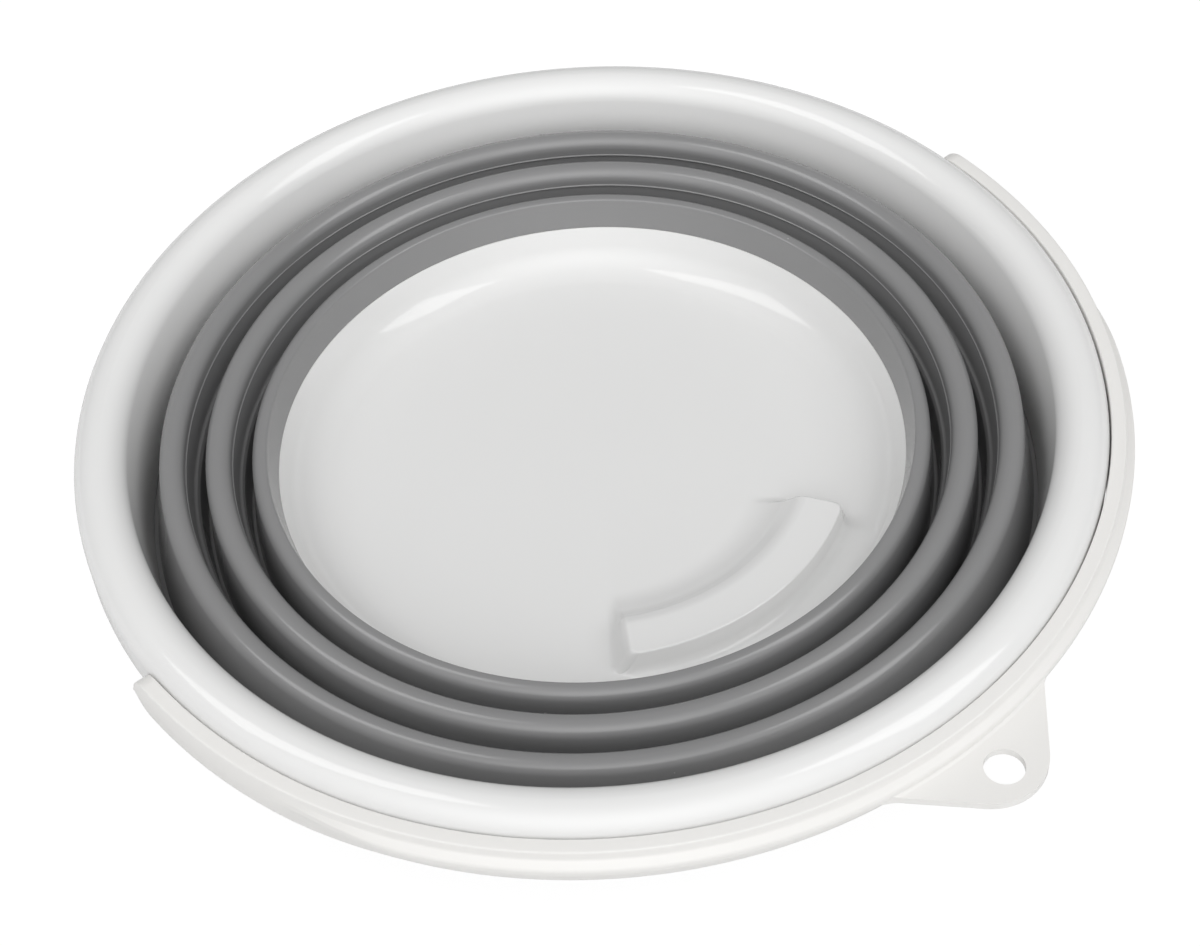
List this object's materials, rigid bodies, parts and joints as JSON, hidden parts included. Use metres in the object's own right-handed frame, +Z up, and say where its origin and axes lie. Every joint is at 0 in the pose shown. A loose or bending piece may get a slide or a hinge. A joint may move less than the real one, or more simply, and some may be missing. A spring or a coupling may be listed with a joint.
{
  "type": "collapsible bucket",
  "caption": "Collapsible bucket folded flat: stiff rim and base joined by a soft concertina wall, with a half-ring handle round the rim and a hanging tab.",
  "frame": {"origin": "middle of the flat hub under the base, on the plane that the bucket stands on", "axes": "+Z up along the bucket's middle axis, X along the handle's pivots, -Y towards the handle, its hanging tab and the finger grip in the base"},
  "size_m": [0.3276, 0.3455, 0.0405],
  "materials": {
    "base_white": "smooth glossy white polypropylene",
    "rim_white": "smooth glossy white polypropylene",
    "handle_white": "satin warm white polypropylene",
    "soft_grey": "satin grey thermoplastic rubber"
  },
  "bodies": {
    "base": {"base": "base_white", "base_cuff": "soft_grey", "base_fold_skin": "soft_grey"},
    "inner_ring": {"inner_fold_ring": "soft_grey", "inner_fold_skin": "soft_grey"},
    "outer_ring": {"outer_fold_ring": "soft_grey", "outer_fold_skin": "soft_grey"},
    "rim": {"rim": "rim_white", "rim_cuff": "soft_grey"},
    "handle": {"handle": "handle_white"}
  },
  "joints": [
    {"name": "base_fold", "type": "slide", "parent": "base", "child": "inner_ring", "axis": [0, 0, 1], "range_m": [0, 0.0468], "deforming": ["base_fold_skin"]},
    {"name": "inner_fold", "type": "slide", "parent": "inner_ring", "child": "outer_ring", "axis": [0, 0, 1], "range_m": [0, 0.0512], "deforming": ["inner_fold_skin"]},
    {"name": "outer_fold", "type": "slide", "parent": "outer_ring", "child": "rim", "axis": [0, 0, 1], "range_m": [0, 0.0544], "deforming": ["outer_fold_skin"]},
    {"name": "handle_swing", "type": "hinge", "parent": "rim", "child": "handle", "pos_m": [0, 0, 0.02825], "axis": [-1, 0, 0], "range_deg": [0, 180]}
  ]
}
